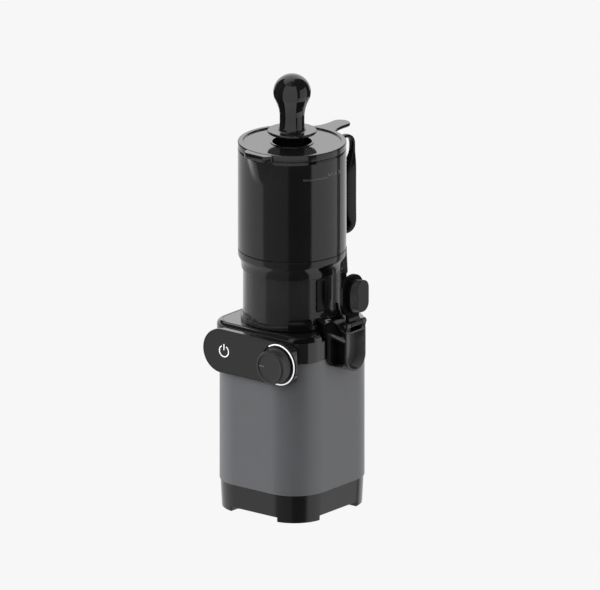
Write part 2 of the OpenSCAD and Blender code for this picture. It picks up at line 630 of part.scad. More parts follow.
module pusher() color(black) {
  // ball handle on its neck
  rotate_extrude() polygon(concat([[0, 411], [14.5, 411], [13.2, 414.5], [13, 420], [13, 429], [13.6, 433.3], [14.8, 437.7], [17, 442.1]],
    [for (a = [-20 : 5 : 90]) [ball_r * cos(a), zc + ball_r * sin(a)]]));
  // disc that stops on the guide
  rotate_extrude() polygon([[0, 409], [25, 409], [26, 410], [26, 411], [25.2, 412], [0, 412]]);
  rod(rod_r, 306, 410);
  // pressing plate
  difference() {
    rod(plate_r, 302, 307);
    for (k = [0 : 5]) rotate([0, 0, 60 * k]) translate([30, 0, 0]) rod(5, 300, 310);
  }
  for (k = [0 : 5]) rotate([0, 0, 60 * k + 30]) translate([8, -1.25, 306.5]) cube([34, 2.5, 6]);
}

base_tray();
rubber_feet();
base_screws();
motor_housing();
power_inlet();
power_board();
top_cover();
panel_pod();
panel_face();
power_symbol();
knob_ring();
control_board();
rotary_switch();
knob();
knob_pointer();
knob_shaft();
motor_end_lower();
motor_end_upper();
stator_core();
stator_windings();
motor_bolts();
motor_bearings();
rotor_shaft();
rotor_core();
cooling_fan();
sun_gear();
gearbox_base();
ring_gear();
gearbox_cover();
gearbox_screws();
planet_1a();
planet_1b();
planet_1c();
carrier_1();
planet_2a();
planet_2b();
planet_2c();
carrier_2();
drive_shaft();
shaft_bearings();
shaft_seal();
interlock_sensor();
juicing_bowl();
bowl_seal();
interlock_magnet();
interlock_rail();
strainer_frame();
strainer_mesh();
juice_spout();
pulp_chute();
spout_cap();
spout_hinge_pin();
auger();
hopper_ring();
hopper();
hopper_gasket();
hopper_handle();
lid();
lid_guide();
pusher();
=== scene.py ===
"""Looks for the upright cold press juicer: shells, transparent vessels and trim around the fixed frame.
Lengths in the helpers are millimetres; every mesh is written in metres."""

import math

import bmesh
import bpy
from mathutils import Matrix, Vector


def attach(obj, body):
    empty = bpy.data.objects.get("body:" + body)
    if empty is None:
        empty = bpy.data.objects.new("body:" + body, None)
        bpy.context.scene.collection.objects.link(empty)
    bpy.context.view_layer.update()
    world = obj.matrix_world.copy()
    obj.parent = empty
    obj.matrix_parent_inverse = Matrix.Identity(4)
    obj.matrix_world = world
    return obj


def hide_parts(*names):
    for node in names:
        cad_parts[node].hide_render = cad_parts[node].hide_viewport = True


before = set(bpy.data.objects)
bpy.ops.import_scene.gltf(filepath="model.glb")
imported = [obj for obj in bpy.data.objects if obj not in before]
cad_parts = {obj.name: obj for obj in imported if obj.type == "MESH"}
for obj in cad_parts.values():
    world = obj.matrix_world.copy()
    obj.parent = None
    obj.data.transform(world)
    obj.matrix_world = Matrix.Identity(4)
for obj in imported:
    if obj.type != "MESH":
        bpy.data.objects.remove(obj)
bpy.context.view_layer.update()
S = 0.001
rad = math.radians

# ---------------------------------------------------------------- materials


def nodes_of(name):
    m = bpy.data.materials.new(name)
    m.use_nodes = True
    t = m.node_tree
    t.nodes.clear()
    out = t.nodes.new("ShaderNodeOutputMaterial")
    return m, t, out


def noise(t, coord, scale, detail=3.0, rough=0.5, stretch=None):
    src = coord
    if stretch:
        mp = t.nodes.new("ShaderNodeMapping")
        mp.inputs["Scale"].default_value = stretch
        t.links.new(coord, mp.inputs["Vector"])
        src = mp.outputs["Vector"]
    n = t.nodes.new("ShaderNodeTexNoise")
    n.inputs["Scale"].default_value = scale
    n.inputs["Detail"].default_value = detail
    n.inputs["Roughness"].default_value = rough
    t.links.new(src, n.inputs["Vector"])
    return n.outputs["Fac"]


def spread(t, fac, lo, hi, a=0.3, b=0.7):
    m = t.nodes.new("ShaderNodeMapRange")
    m.inputs["From Min"].default_value = a
    m.inputs["From Max"].default_value = b
    m.inputs["To Min"].default_value = lo
    m.inputs["To Max"].default_value = hi
    t.links.new(fac, m.inputs["Value"])
    return m.outputs["Result"]


def two_tone(t, fac, c1, c2, a=0.3, b=0.7):
    r = t.nodes.new("ShaderNodeValToRGB")
    r.color_ramp.elements[0].position = a
    r.color_ramp.elements[1].position = b
    r.color_ramp.elements[0].color = (*c1, 1)
    r.color_ramp.elements[1].color = (*c2, 1)
    t.links.new(fac, r.inputs["Fac"])
    return r.outputs["Color"]


def finish(name, c1, c2, rough, patch=60.0, grain=2500.0, bump=0.1, depth=0.00003, metal=0.0,
           ior=1.5, coat=0.0, coat_rough=0.05, alpha=1.0, stretch=None, specular=0.5, emit=None, glow=0.0):
    """Principled material: two tones in soft patches, roughness that varies with them, fine grain as bump."""
    m, t, out = nodes_of(name)
    b = t.nodes.new("ShaderNodeBsdfPrincipled")
    t.links.new(b.outputs["BSDF"], out.inputs["Surface"])
    tc = t.nodes.new("ShaderNodeTexCoord").outputs["Object"]
    big = noise(t, tc, patch, 4.0, 0.55, stretch)
    t.links.new(two_tone(t, big, c1, c2), b.inputs["Base Color"])
    t.links.new(spread(t, big, rough[0], rough[1]), b.inputs["Roughness"])
    fine = noise(t, tc, grain, 2.0, 0.6, stretch)
    bp = t.nodes.new("ShaderNodeBump")
    bp.inputs["Strength"].default_value = bump
    bp.inputs["Distance"].default_value = depth
    t.links.new(fine, bp.inputs["Height"])
    t.links.new(bp.outputs["Normal"], b.inputs["Normal"])
    b.inputs["Metallic"].default_value = metal
    b.inputs["IOR"].default_value = ior
    b.inputs["Specular IOR Level"].default_value = specular
    b.inputs["Coat Weight"].default_value = coat
    b.inputs["Coat Roughness"].default_value = coat_rough
    b.inputs["Alpha"].default_value = alpha
    if emit:
        b.inputs["Emission Color"].default_value = (*emit, 1)
        b.inputs["Emission Strength"].default_value = glow
    return m


def grey(v, tint=(1, 1, 1)):
    return tuple(v * k for k in tint)


M = {
    "gloss": finish("gloss_black", grey(0.008), grey(0.012), (0.05, 0.10), 45, 900, 0.05, 0.00002),
    "soft_gloss": finish("soft_gloss_black", grey(0.010), grey(0.014), (0.14, 0.22), 45, 1400, 0.08, 0.00002),
    "matt": finish("matt_black", grey(0.010), grey(0.015), (0.42, 0.52), 80, 3000, 0.25, 0.00004, specular=0.42),
    "knob_face": finish("knob_face", grey(0.016), grey(0.022), (0.36, 0.46), 90, 2600, 0.2, 0.00003, specular=0.42),
    "base": finish("base_black", grey(0.005), grey(0.007), (0.17, 0.24), 60, 2200, 0.20, 0.00004, specular=0.46),
    "cap_face": finish("cap_black", grey(0.005), grey(0.008), (0.18, 0.26), 45, 1400, 0.08, 0.00002, specular=0.22),
    # painted light: a lighter grey for the lit part of the cap's face
    "cap_painted_light": finish("cap_painted_light", grey(0.030), grey(0.042), (0.20, 0.30), 60, 1400, 0.10, 0.00002),
    # painted light: a pale grey that lightens spout walls which are shaded by the spout itself
    "spout_painted_light_strong": finish("spout_painted_light_strong", grey(0.15), grey(0.21), (0.20, 0.32), 26, 900, 0.10, 0.00003),
    # painted shade: denser, darker and less reflective smoke that dims the bowl's reflection near its right edge
    "smoke_painted_shade": finish("smoke_painted_shade", grey(0.020), grey(0.030), (0.08, 0.14), 40, 700, 0.04, 0.00002, alpha=0.80,
                         specular=0.08),
    # the handle's own black; also painted on the spout hood as shade
    "handle": finish("handle_black_and_painted_shade", grey(0.003), grey(0.005), (0.16, 0.24), 60, 1200, 0.10, 0.00002, specular=0.14),
    # painted light: a lighter grey that stands in for reflected light on the spout's inner faces and the lit band on
    # the chute roof
    "spout_inner": finish("spout_inner", grey(0.055), grey(0.085), (0.10, 0.20), 26, 900, 0.10, 0.00003),
    # painted shade: near-black, rough and barely reflective, laid on faces to stand for shade in recesses and to blot
    # out highlights
    "painted_shade": finish("painted_shade_black", grey(0.0015), grey(0.003), (0.55, 0.7), 70, 1500, 0.20, 0.00004, specular=0.05),
    "housing": finish("housing_grey", grey(0.130, (0.965, 0.985, 1.06)), grey(0.141, (0.965, 0.985, 1.06)),
                      (0.42, 0.50), 30, 2600, 0.22, 0.00005),
    "smoke_bowl": finish("smoke_bowl", grey(0.026), grey(0.036), (0.04, 0.08), 40, 700, 0.04, 0.00002, alpha=0.68),
    "smoke_hopper": finish("smoke_hopper", grey(0.006), grey(0.009), (0.04, 0.08), 40, 700, 0.04, 0.00002, alpha=0.90),
    # white print with a painted glow: emission makes the printed mark shine brighter than the light on it
    "print": finish("white_print", grey(0.80), grey(0.86), (0.45, 0.55), 120, 3000, 0.1, 0.00002,
                    emit=(1, 1, 1), glow=0.55),
    "faint_print": finish("faint_print", grey(0.13), grey(0.18), (0.4, 0.5), 120, 3000, 0.1, 0.00002),
    # white ring with a painted glow: emission stands in for the highlight on its chamfer
    "ring": finish("ring_white_painted_glow", grey(0.78), grey(0.86), (0.22, 0.30), 90, 1600, 0.05, 0.00002,
                   emit=(1, 1, 1), glow=0.65),
    "steel": finish("steel", grey(0.52), grey(0.62), (0.20, 0.34), 60, 1500, 0.12, 0.00002, metal=1.0,
                    stretch=(1, 1, 14)),
    "dark_mesh": finish("dark_mesh", grey(0.035), grey(0.055), (0.45, 0.60), 60, 1500, 0.12, 0.00002, metal=1.0),
    "aluminium": finish("cast_aluminium", grey(0.56), grey(0.64), (0.38, 0.52), 90, 900, 0.3, 0.00008, metal=1.0),
    "copper": finish("copper_wire", (0.60, 0.24, 0.09), (0.75, 0.33, 0.14), (0.24, 0.36), 90, 700, 0.5, 0.0002,
                     metal=1.0, stretch=(1, 1, 6)),
    "board": finish("board_green", (0.012, 0.10, 0.045), (0.02, 0.15, 0.06), (0.30, 0.40), 130, 1500, 0.1, 0.00004),
    "nylon": finish("gear_nylon", (0.72, 0.68, 0.56), (0.80, 0.77, 0.66), (0.38, 0.50), 70, 2000, 0.2, 0.00004),
    "rubber": finish("rubber", grey(0.016), grey(0.024), (0.62, 0.78), 80, 1800, 0.4, 0.00008),
    "seal_red": finish("seal_red", (0.42, 0.035, 0.02), (0.50, 0.05, 0.03), (0.42, 0.55), 60, 1500, 0.2, 0.00004),
    "seal_grey": finish("seal_grey", grey(0.30), grey(0.36), (0.45, 0.58), 60, 1500, 0.2, 0.00004),
    "plastic": finish("black_plastic", grey(0.018), grey(0.026), (0.32, 0.44), 60, 2000, 0.2, 0.00004),
    "lamination": finish("core_steel", grey(0.30), grey(0.38), (0.35, 0.5), 60, 1200, 0.35, 0.00006, metal=1.0,
                         stretch=(1, 1, 30)),
}

# ---------------------------------------------------------------- mesh helpers


def fillet(pts, closed=False, step=14.0):
    """Corner points (a, b, radius) to a smooth polyline."""
    out, n = [], len(pts)
    for i, p in enumerate(pts):
        r = p[2] if len(p) > 2 else 0
        b = Vector(p[:2])
        if r <= 0 or (not closed and i in (0, n - 1)):
            out.append((b.x, b.y))
            continue
        u = Vector(pts[i - 1][:2]) - b
        v = Vector(pts[(i + 1) % n][:2]) - b
        lu, lv = u.length, v.length
        u.normalize()
        v.normalize()
        ang = u.angle(v)
        if ang > rad(178):
            out.append((b.x, b.y))
            continue
        k = min(r / math.tan(ang / 2), lu * 0.49, lv * 0.49)
        rr = k * math.tan(ang / 2)
        c = b + (u + v).normalized() * (rr / math.sin(ang / 2))
        s, e = b + u * k, b + v * k
        a0 = math.atan2(s.y - c.y, s.x - c.x)
        d = (math.atan2(e.y - c.y, e.x - c.x) - a0 + math.pi) % (2 * math.pi) - math.pi
        m = max(2, math.ceil(abs(math.degrees(d)) / step))
        for j in range(m + 1):
            t = a0 + d * j / m
            out.append((c.x + rr * math.cos(t), c.y + rr * math.sin(t)))
    return out


def piece(name, verts, faces, body, mat, angle=38, weld=1e-6, recalc=True):
    me = bpy.data.meshes.new(name)
    me.from_pydata([(x * S, y * S, z * S) for x, y, z in verts], [], faces)
    bm = bmesh.new()
    bm.from_mesh(me)
    bmesh.ops.remove_doubles(bm, verts=bm.verts, dist=weld)
    if recalc:
        bmesh.ops.recalc_face_normals(bm, faces=bm.faces)
    bm.to_mesh(me)
    bm.free()
    return place(name, me, body, mat, angle)


def place(name, me, body, mat, angle=38):
    o = bpy.data.objects.new(name, me)
    bpy.context.scene.collection.objects.link(o)
    for m in mat if isinstance(mat, (list, tuple)) else [mat]:
        me.materials.append(M[m] if isinstance(m, str) else m)
    me.shade_smooth()
    me.set_sharp_from_angle(angle=rad(angle))
    w = o.modifiers.new("normals", "WEIGHTED_NORMAL")
    w.mode = "FACE_AREA"
    w.weight = 50
    w.keep_sharp = True
    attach(o, body)
    return o


def paint(o, pred, mat):
    """Second material on the faces whose centre and normal (millimetres) pass the test."""
    o.data.materials.append(M[mat])
    last = len(o.data.materials) - 1
    for p in o.data.polygons:
        if pred(p.center / S, p.normal):
            p.material_index = last


def lathe(profile, seg=160, closed=False, a0=0.0, a1=360.0, at=None):
    """Turn (r, h) points about Z, or through at(r*cos, r*sin, h)."""
    at = at or (lambda x, y, z: (x, y, z))
    full = abs(a1 - a0) > 359.9
    cols = seg if full else seg + 1
    verts, idx = [], []
    for r, h in profile:
        if r < 1e-6:
            verts.append(at(0, 0, h))
            idx.append([len(verts) - 1] * cols)
            continue
        row = []
        for j in range(cols):
            t = rad(a0 + (a1 - a0) * j / seg)
            verts.append(at(r * math.cos(t), r * math.sin(t), h))
            row.append(len(verts) - 1)
        idx.append(row)
    faces, n = [], len(profile)
    for i in range(n if closed else n - 1):
        p, q = idx[i], idx[(i + 1) % n]
        for j in range(seg):
            k = (j + 1) % cols
            f = []
            for v in (p[j], p[k], q[k], q[j]):
                if v not in f:
                    f.append(v)
            if len(f) > 2:
                faces.append(f)
    if not full:
        faces.append([row[0] for row in idx])
        faces.append([row[-1] for row in idx][::-1])
    return verts, faces, idx


def loft(rings, cap=True, loop=False):
    """Rings of 3-D points with equal counts, joined in order."""
    verts, n, faces = [p for r in rings for p in r], len(rings[0]), []
    for i in range(len(rings) if loop else len(rings) - 1):
        a, b = i * n, ((i + 1) % len(rings)) * n
        for j in range(n):
            k = (j + 1) % n
            faces.append([a + j, a + k, b + k, b + j])
    if cap and not loop:
        faces.append(list(range(n))[::-1])
        faces.append([(len(rings) - 1) * n + j for j in range(n)])
    return verts, faces


def arc_pts(cx, cy, r, a0, a1, n):
    return [(cx + r * math.cos(rad(a0 + (a1 - a0) * j / n)), cy + r * math.sin(rad(a0 + (a1 - a0) * j / n)))
            for j in range(n + 1)]


def deck_line(i, n=24):
    """Outline of the deck, moved inwards by i."""
    w, f, b, rf, rb = 64.6 - i, 62 - i, 66.9 - i, 25 - i, 39 - i
    return (arc_pts(w - rf, -f + rf, rf, -90, 0, n) + arc_pts(w - rb, b - rb, rb, 0, 90, n)
            + arc_pts(-w + rb, b - rb, rb, 90, 180, n) + arc_pts(-w + rf, -f + rf, rf, 180, 270, n))


def quarter(r, n=8):
    """(inset, rise) pairs of a rounded edge from the side up to the top."""
    return [(r - r * math.cos(rad(90 * j / n)), r * math.sin(rad(90 * j / n))) for j in range(n + 1)]


def from_cad(node, name, body, mat, rules=(), edge=0.4, seg=3, angle=38, cut=None, flat=0.9):
    """A copy of a node's mesh with planar faces merged and its edges rounded."""
    bm = bmesh.new()
    bm.from_mesh(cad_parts[node].data)
    bmesh.ops.remove_doubles(bm, verts=bm.verts, dist=2e-6)
    bmesh.ops.dissolve_limit(bm, angle_limit=rad(flat), verts=bm.verts, edges=bm.edges,
                             use_dissolve_boundaries=False)
    if cut:
        cut(bm)
    done = []
    for pred, off, sg in list(rules) + [(None, edge, seg)]:
        if off <= 0:
            continue
        es = []
        for e in bm.edges:
            if len(e.link_faces) != 2 or e.calc_face_angle(0) < rad(30):
                continue
            a, b = e.verts[0].co / S, e.verts[1].co / S
            if pred is not None and not pred(a, b):
                continue
            if pred is None and any(k(a, b) for k in done):
                continue
            es.append(e)
        if pred is not None:
            done.append(pred)
        if es:
            bmesh.ops.bevel(bm, geom=es, offset=off * S, offset_type="OFFSET", segments=sg, profile=0.5,
                            affect="EDGES", clamp_overlap=False, loop_slide=True, miter_outer="SHARP",
                            miter_inner="SHARP")
    # a mitred corner of the rounding never reaches past the node's own box
    cos = [v.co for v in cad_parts[node].data.vertices]
    lo = [min(c[i] for c in cos) for i in range(3)]
    hi = [max(c[i] for c in cos) for i in range(3)]
    for v in bm.verts:
        v.co = [min(max(v.co[i], lo[i]), hi[i]) for i in range(3)]
    bmesh.ops.remove_doubles(bm, verts=bm.verts, dist=2e-6)
    bmesh.ops.dissolve_degenerate(bm, edges=bm.edges, dist=1e-6)
    for f in bm.faces:
        f.material_index = 0
    me = bpy.data.meshes.new(name)
    bm.to_mesh(me)
    bm.free()
    me.materials.clear()
    o = place(name, me, body, mat, angle)
    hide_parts(node)
    return o


def boolean(o, cutter, op):
    m = o.modifiers.new("cut", "BOOLEAN")
    m.operation = op
    m.solver = "EXACT"
    m.object = cutter
    bpy.context.view_layer.update()
    dg = bpy.context.evaluated_depsgraph_get()
    me = bpy.data.meshes.new_from_object(o.evaluated_get(dg))
    o.modifiers.clear()
    o.data = me
    bpy.data.objects.remove(cutter)


def raw(name, verts, faces):
    me = bpy.data.meshes.new(name)
    me.from_pydata([(x * S, y * S, z * S) for x, y, z in verts], [], faces)
    bm = bmesh.new()
    bm.from_mesh(me)
    bmesh.ops.recalc_face_normals(bm, faces=bm.faces)
    bm.to_mesh(me)
    bm.free()
    o = bpy.data.objects.new(name, me)
    bpy.context.scene.collection.objects.link(o)
    return o


def block(x0, x1, y0, y1, z0, z1):
    v = [(x, y, z) for z in (z0, z1) for y in (y0, y1) for x in (x0, x1)]
    return v, [(0, 2, 3, 1), (4, 5, 7, 6), (0, 1, 5, 4), (1, 3, 7, 5), (3, 2, 6, 7), (2, 0, 4, 6)]


def slab(outline, lo, hi, r, at, seg=5):
    """A plate: closed outline of (a, b) points, from lo to hi, with its long edges rounded by r."""
    n = len(outline)
    area = sum(outline[i][0] * outline[(i + 1) % n][1] - outline[(i + 1) % n][0] * outline[i][1] for i in range(n))
    pts = [Vector(p) for p in (outline if area > 0 else outline[::-1])]
    normals = []
    for i in range(n):
        a, b, c = pts[i - 1], pts[i], pts[(i + 1) % n]
        u, v = (b - a).normalized(), (c - b).normalized()
        nu, nv = Vector((-u.y, u.x)), Vector((-v.y, v.x))
        m = nu + nv
        m = m / max(1e-9, m.dot(nu)) if m.length > 1e-9 else nu
        normals.append(m if m.length < 2.5 else m.normalized() * 2.5)

    def ring(inset, h):
        return [at(p.x + q.x * inset, p.y + q.y * inset, h) for p, q in zip(pts, normals)]

    rings = [ring(i, lo + r - k) for i, k in reversed(quarter(r, seg))]
    rings += [ring(i, hi - r + k) for i, k in quarter(r, seg)]
    return loft(rings)


# ---------------------------------------------------------------- base and housing

from_cad("base_tray", "base_shell", "base", "base", edge=0.7, seg=3)
from_cad("motor_housing", "housing_shell", "base", "housing", edge=0.6, seg=3)

# top cover: rounded deck edge, a fine groove inside it, hollow below
rings = [[(x, y, 178.0) for x, y in deck_line(0.4)], [(x, y, 178.4) for x, y in deck_line(0)]]
rings += [[(x, y, 200.3 + k) for x, y in deck_line(i)] for i, k in quarter(5.0, 10)]
rings += [[(x, y, z) for x, y in deck_line(i)] for i, z in
          ((5.6, 205.3), (5.75, 204.95), (6.35, 204.95), (6.5, 205.3))]
top = rings[-1]
inner = [[(x, y, z) for x, y in deck_line(i)] for i, z in ((3, 202.3), (3, 178.0))]
v, f = loft(rings, cap=False)
n = len(top)
base_i = len(v)
v += [p for r in inner for p in r]
f.append([(len(rings) - 1) * n + j for j in range(n)])
for j in range(n):
    k = (j + 1) % n
    f.append([base_i + j, base_i + k, base_i + n + k, base_i + n + j])
    f.append([j, k, base_i + n + k, base_i + n + j])
f.append([base_i + j for j in range(n)])
cover = raw("deck_cover", v, f)
boolean(cover, raw("c1", *block(54, 63, -33, 32, 195, 204)), "UNION")
boolean(cover, raw("c2", *block(57, 77, -31, 30, 198, 218)), "DIFFERENCE")
boolean(cover, raw("c3", *lathe([(0, 190), (12, 190), (12, 220), (0, 220)], 64)[:2]), "DIFFERENCE")
boolean(cover, raw("c4", *block(-47, 47, -70, -56, 170, 194)), "DIFFERENCE")
cover_mesh = cover.data.copy()
bpy.data.objects.remove(cover)
cover_mesh.materials.clear()
o = place("deck_cover", cover_mesh, "base", "gloss", 30)
# painted shade: the front-right stretch of the deck's rounded edge is painted near-black so that its highlight
# disappears
paint(o, lambda c, n: c.z > 198.5 and n.z < 0.93 and n.x > 0.3 and -68 < math.degrees(math.atan2(n.y, n.x)) < -13, "painted_shade")
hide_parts("top_cover")
v, f, _ = lathe(fillet([(10, 183, 0.3), (17, 183, 0.3), (17, 205.0, 0), (17, 209, 1.2), (10, 209, 0.6)], True), 96,
                closed=True)
piece("deck_hub", v, f, "base", "gloss")

# ---------------------------------------------------------------- control panel


def at_panel(cx, cz):
    return lambda x, y, h: (cx + x, -72 - h, cz + y)


front = lambda a, b: a.y < -71.9 and b.y < -71.9 and min(
    math.hypot(max(abs(p.x) - 38.5, 0), p.z - 178.3) for p in (a, b)) > 23.5
from_cad("panel_pod", "panel_body", "base", "gloss", rules=[(front, 0.9, 4)], edge=0.25, seg=2)
from_cad("panel_face", "panel_front", "base", "matt", edge=0.12, seg=2)
from_cad("power_symbol", "panel_symbol", "base", "print", edge=0.0)

v, f, _ = lathe(fillet([(21, 0, 0), (21, 0.9, 0.5), (22.2, 0.9, 0.5), (22.2, 0, 0)], True), 160, closed=True,
                at=at_panel(38.5, 178.2))
o = piece("dial_ring", v, f, "base", "ring")
# painted shade: the ring's upper-left part is painted near-black, leaving only a lit crescent of painted glow
paint(o, lambda c, n: c.x < 38.5 - 1.2 * abs(c.z - 178.2) / 1.76 and c.z > 178.2, "painted_shade")
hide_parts("knob_ring")

v, f, _ = lathe([(0, 14.2)] + fillet([(10, 14.15), (14.2, 14.2, 2), (15.0, 15.0, 0.6), (16.9, 15.0, 1.6), (18.1, 13.6, 2),
                                      (18.3, 9.0), (18.55, 1.9, 0.5), (18.0, 1.2), (3.0, 1.2)])
                + [(3.0, 11.0), (0, 11.0)], 144, at=at_panel(38.5, 178.2))
o = piece("dial", v, f, "selector", "knob_face")
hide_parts("knob")
from_cad("knob_pointer", "dial_mark", "selector", "faint_print", edge=0.0)

# ---------------------------------------------------------------- juicing bowl

prof = fillet([(18, 206, 0.4), (54, 206, 0.6), (54, 211, 1.2), (51.7, 211.02, 0.3), (51.7, 211.6), (51.7, 214), (51.7, 217),
               (51.7, 268, 0.9), (49.1, 268, 0.9), (49.1, 217), (49.1, 214), (49.1, 211.6), (49.1, 209, 1.6), (20.5, 209, 1.2),
               (20.5, 222, 0.7), (18, 222, 0.4)], True)
SEG = 180
v, f, idx = lathe(prof, SEG, closed=True)
row = {}
for i, (r, h) in enumerate(prof):
    row[(round(r, 2), round(h, 2))] = idx[i]
LOW, MID, HIGH = 211.6, 214, 217
for a, b, steps in ((-1, 14, ((LOW, MID),)), (-10, -4, ((LOW, MID), (MID, HIGH)))):  # juice and pulp ways out
    gone = set()
    for lo, hi in steps:
        o0, o1, i0, i1 = row[(51.7, lo)], row[(51.7, hi)], row[(49.1, lo)], row[(49.1, hi)]
        for j in range(a, b):
            j, k = j % SEG, (j + 1) % SEG
            gone.add(frozenset((o0[j], o0[k], o1[k], o1[j])))
            gone.add(frozenset((i0[j], i0[k], i1[k], i1[j])))
        for j in (a % SEG, b % SEG):
            f.append([o0[j], o1[j], i1[j], i0[j]])
    f = [q for q in f if frozenset(q) not in gone]
    o0, i0 = row[(51.7, steps[0][0])], row[(49.1, steps[0][0])]
    o1, i1 = row[(51.7, steps[-1][1])], row[(49.1, steps[-1][1])]
    for j in range(a, b):
        j, k = j % SEG, (j + 1) % SEG
        f.append([o0[j], o0[k], i0[k], i0[j]])
        f.append([o1[j], o1[k], i1[k], i1[j]])
o = piece("bowl_shell", v, f, "bowl", "smoke_bowl", 50)
# painted shade: a strip of the bowl wall near its right edge is painted darker and less reflective
paint(o, lambda c, n: math.hypot(c.x, c.y) > 51 and 212 < c.z < 267 and 9 < math.degrees(math.atan2(c.y, c.x)) < 31,
      "smoke_painted_shade")
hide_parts("juicing_bowl")

v, f, _ = lathe(fillet([(51.6, 211.1), (56.2, 212.1, 1.0), (57.55, 254.9, 1.2), (51.6, 255.3)], True), 18, closed=True,
                a0=33, a1=51)
o = piece("bowl_lug", v, f, "bowl", "handle", 40)
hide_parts("juicing_bowl")

v, f, _ = lathe(fillet([(53.4, 205.6, 0.3), (57.2, 205.6, 0.5), (57.2, 214.4, 1.4), (55.0, 217.2, 1.2), (51.6, 217.8)], True),
                30, closed=True, a0=-55.5, a1=-29.5)
piece("bowl_foot_lug", v, f, "bowl", "handle", 40)

from_cad("interlock_rail", "bowl_rail", "bowl", "handle", edge=0.35)
o = from_cad("juice_spout", "spout_shell", "bowl", "gloss", edge=0.5)
# painted light: the inner faces of the spout mouth are painted a lighter grey in place of their reflection
paint(o, lambda c, n: 66 < c.x < 76.2 and abs(c.y - 11.5) < 14.3 and 160.4 < c.z < 204, "spout_inner")
# painted light: the self-shaded right wall of the spout mouth is painted paler still
paint(o, lambda c, n: 66 < c.x < 76.2 and abs(c.y - 11.5) < 14.3 and 160.4 < c.z < 204 and n.y < -0.25, "spout_painted_light_strong")
paint(o, lambda c, n: c.x > 50 and abs(c.y - 25.6) < 0.3 and n.y < -0.9, "spout_painted_light_strong")
# painted shade: the hood's upward faces get the duller handle black to hide their highlight
paint(o, lambda c, n: c.x < 72 and 203 < c.z < 229 and n.z > 0.25, "handle")
o = from_cad("pulp_chute", "chute_shell", "bowl", "gloss", edge=0.5)
# painted shade: the chute's mouth and its way in from the bowl are painted near-black
paint(o, lambda c, n: (66.6 < c.x < 77 and -21.7 < c.y < -7.1 and 170.3 < c.z < 203)
      or (c.x < 66 and c.y < -8 and 208 < c.z < 216), "painted_shade")
brow = [(70.5, -19.3), (76.55, -9.2), (76.55, -5.3), (72.6, -5.3), (72.6, -8.9), (67.4, -20.6)]


def on_roof(x, y, lift):
    """Point on the slanted roof of the chute, lifted off it."""
    z = 206.5 - (x - 66.6) * (206.5 - 190.7) / (80 - 66.6)
    return (x + 0.76 * lift, y, z + 0.65 * lift)


# painted light: the brow carries the lighter grey to show a lit band along the chute roof
v, f = loft([[on_roof(x, y, h) for x, y in brow] for h in (-0.3, 0.12)])
piece("chute_brow", v, f, "bowl", "spout_inner", 30)
o = from_cad("spout_cap", "cap_shell", "cap", "cap_face", edge=0.6)
# painted shade: the plug wall of the flipped cap is painted near-black
paint(o, lambda c, n: c.z > 216 and 73.0 < c.x < 79.2 and n.y < 0.25 and n.z < 0.8, "painted_shade")
# painted light: a band of the cap's face is painted lighter where light falls
paint(o, lambda c, n: c.z > 216 and 79.2 < c.x < 83.0 and n.y < -0.3, "cap_painted_light")

# ---------------------------------------------------------------- hopper

from_cad("hopper_ring", "hopper_collar", "hopper_unit", "smoke_hopper", edge=0.4)

outer = [(33, 282.8), (56.4, 282.8), (57.1, 283.5)] + [(57.1, z) for z in (300, 330, 355)]
outer += [(57.1, 358 + 2.4 * k) for k in range(14)] + [(57.1, 391.9), (56.8, 392.45), (56.3, 392.7)]
inner = [(55.3, 392.7), (54.85, 392.45), (54.7, 391.9)] + [(54.7, 358 + 2.4 * k) for k in range(13, -1, -1)]
inner += [(54.7, z) for z in (330, 300)] + fillet([(54.7, 294), (54.6, 292.6, 2), (52, 290, 3), (33, 285.6)])[1:]
v, f, idx = lathe(outer + inner, 216, closed=True)


def beak(x, y, z):
    """Moulded pouring beak: the wall swells outwards towards the front of the rim."""
    r = math.hypot(x, y)
    if r < 50 or z < 360 or y > 0:
        return x, y, z
    t = min(1.0, max(0.0, (z - 367.5) / 25.2))
    half = 4.0 + 14.2 * t ** 0.7
    s = max(0.0, 1 - abs(x) / half)
    g = 6.35 * t ** 0.9 * (s * s * (3 - 2 * s)) ** 0.62
    return x * (1 - 0.02 * g), y - g, z


o = piece("hopper_shell", [beak(*p) for p in v], f, "hopper_unit", "smoke_hopper", 50)
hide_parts("hopper")


def on_hopper(deg, z, out=0.06):
    r = 57.1 + out
    return (r * math.cos(rad(deg)), r * math.sin(rad(deg)), z)


def strip(d0, z0, d1, z1, w, n=1):
    """A thin raised stroke on the hopper's wall, from (angle, height) to (angle, height)."""
    k = 57.1 * math.pi / 180
    dx, dz = (d1 - d0) * k, z1 - z0
    ln = math.hypot(dx, dz) or 1
    nx, nz = -dz / ln * w / 2 / k, dx / ln * w / 2
    rings = []
    for j in range(n + 1):
        t = j / n
        d, z = d0 + (d1 - d0) * t, z0 + (z1 - z0) * t
        rings.append([on_hopper(d - nx, z - nz, 0.0), on_hopper(d + nx, z + nz, 0.0),
                      on_hopper(d + nx, z + nz, 0.12), on_hopper(d - nx, z - nz, 0.12)])
    return loft(rings)


vs, fs = [], []


def add(vf):
    b = len(vs)
    vs.extend(vf[0])
    fs.extend([[i + b for i in q] for q in vf[1]])


add(strip(-39.3, 372.6, -11.5, 372.6, 0.4, 28))
add(strip(15.5, 372.6, 21.2, 372.6, 0.4, 6))
for k in range(13):
    add(strip(-38.9 + 2.2 * k, 372.8, -38.9 + 2.2 * k, 374.5, 0.35))
